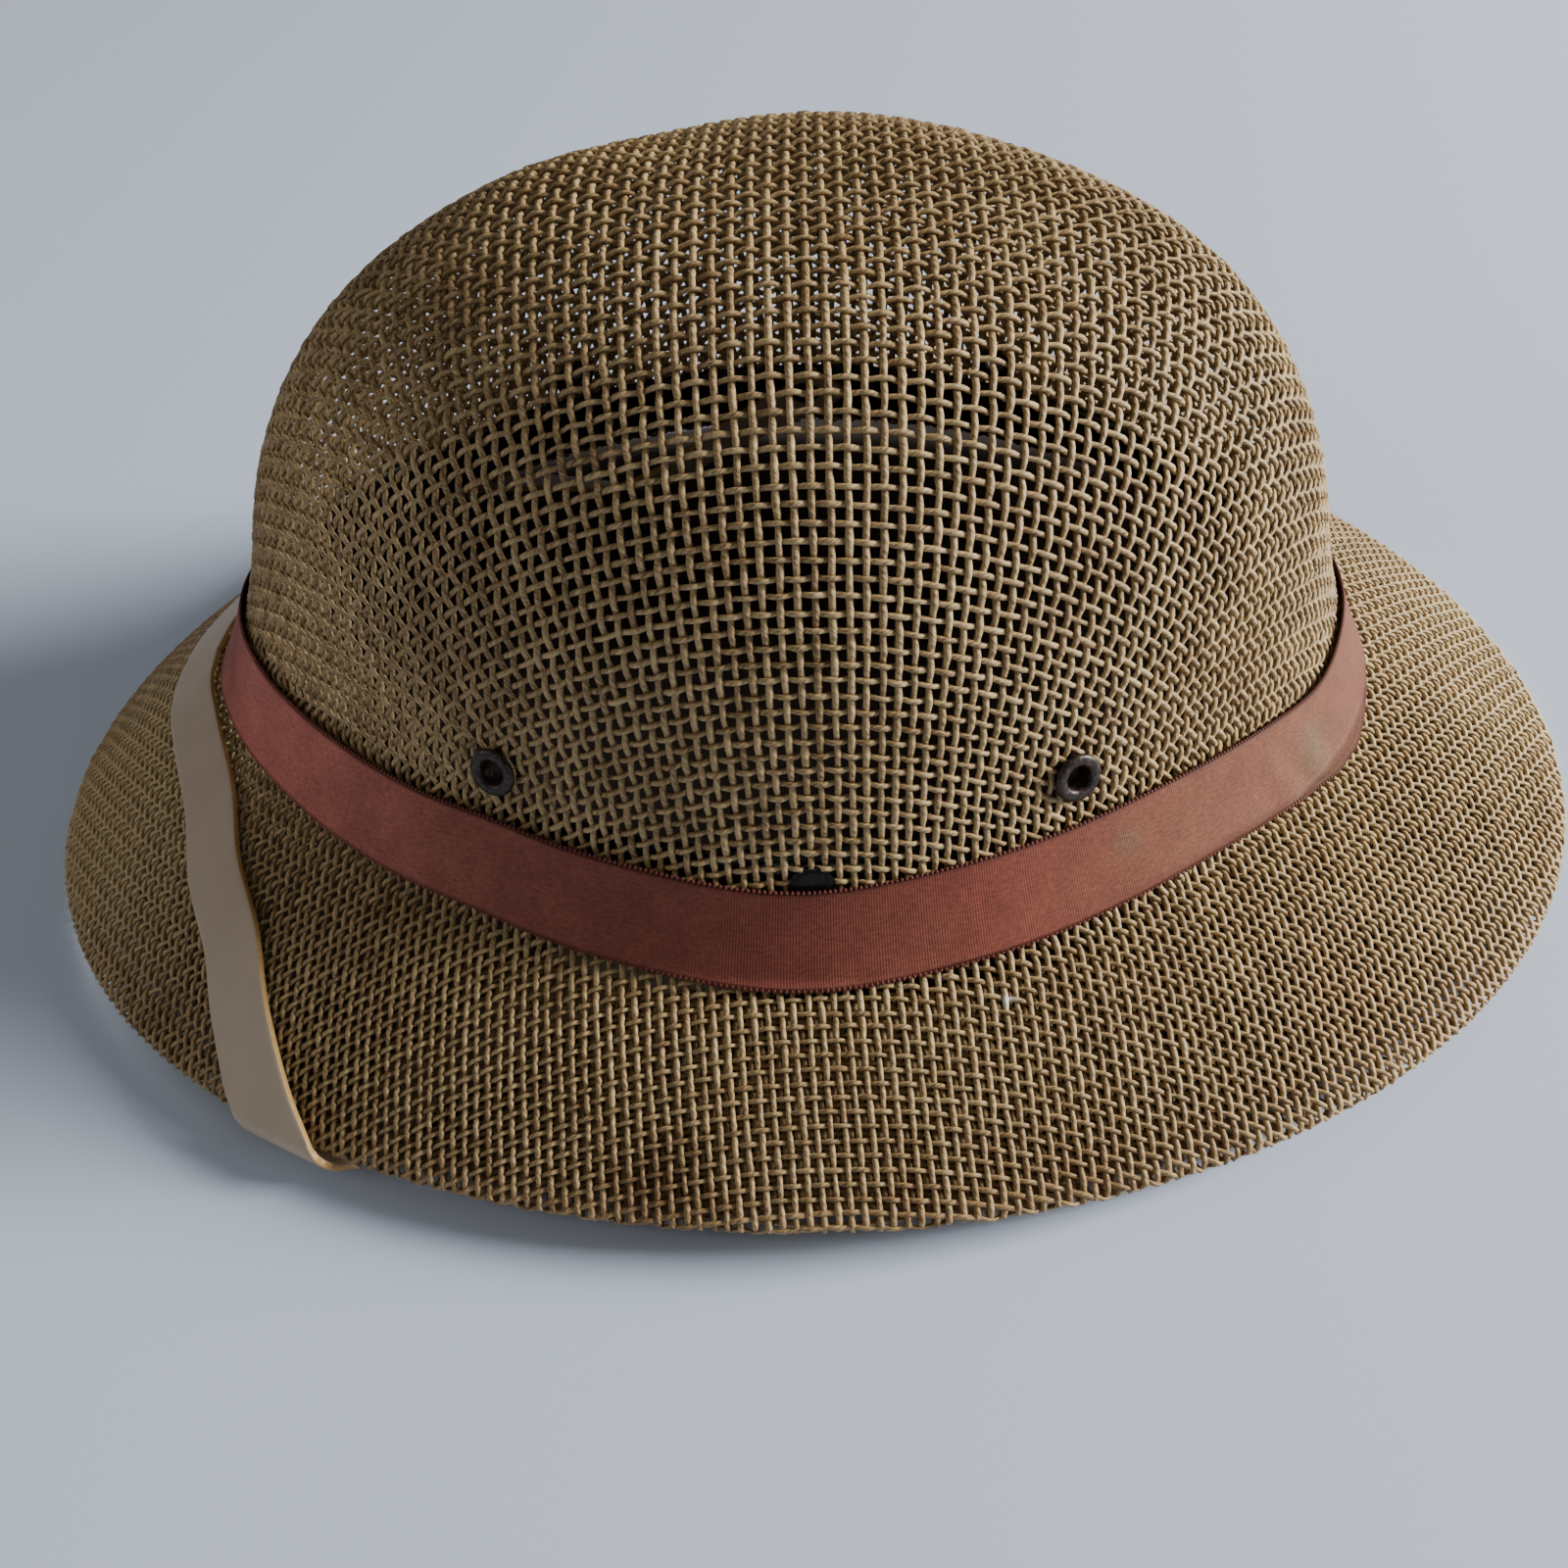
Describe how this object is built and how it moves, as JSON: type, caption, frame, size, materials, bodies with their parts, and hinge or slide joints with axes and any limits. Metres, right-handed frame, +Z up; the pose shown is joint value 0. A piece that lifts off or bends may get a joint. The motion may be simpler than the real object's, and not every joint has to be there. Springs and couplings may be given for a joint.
{
  "type": "pith helmet",
  "caption": "Open-weave straw sun helmet with a domed crown, a sloping brim, a ribbon round the crown, vent eyelets and a flat chin strap worn over the front of the brim.",
  "frame": {"origin": "on the surface it rests on, under the middle of the brim's length", "axes": "+X towards the back of the helmet along its length, +Y towards the wearer's right, +Z up"},
  "size_m": [0.335, 0.26, 0.1338],
  "materials": {
    "straw": "plain weave of twisted paper straw, aged",
    "ribbon": "ribbed woven ribbon, faded",
    "sweatband": "black oilcloth",
    "strap": "smooth grey leather with a raw edge",
    "fittings": "worn black japanned"
  },
  "bodies": {
    "root": {"straw_body": "straw", "hat_ribbon": "ribbon", "sweatband": "sweatband", "chin_strap": "strap", "eyelet_left_front": "fittings", "eyelet_left_back": "fittings", "eyelet_right_front": "fittings", "eyelet_right_back": "fittings", "strap_rivet_left": "fittings", "strap_rivet_right": "fittings"}
  },
  "joints": []
}
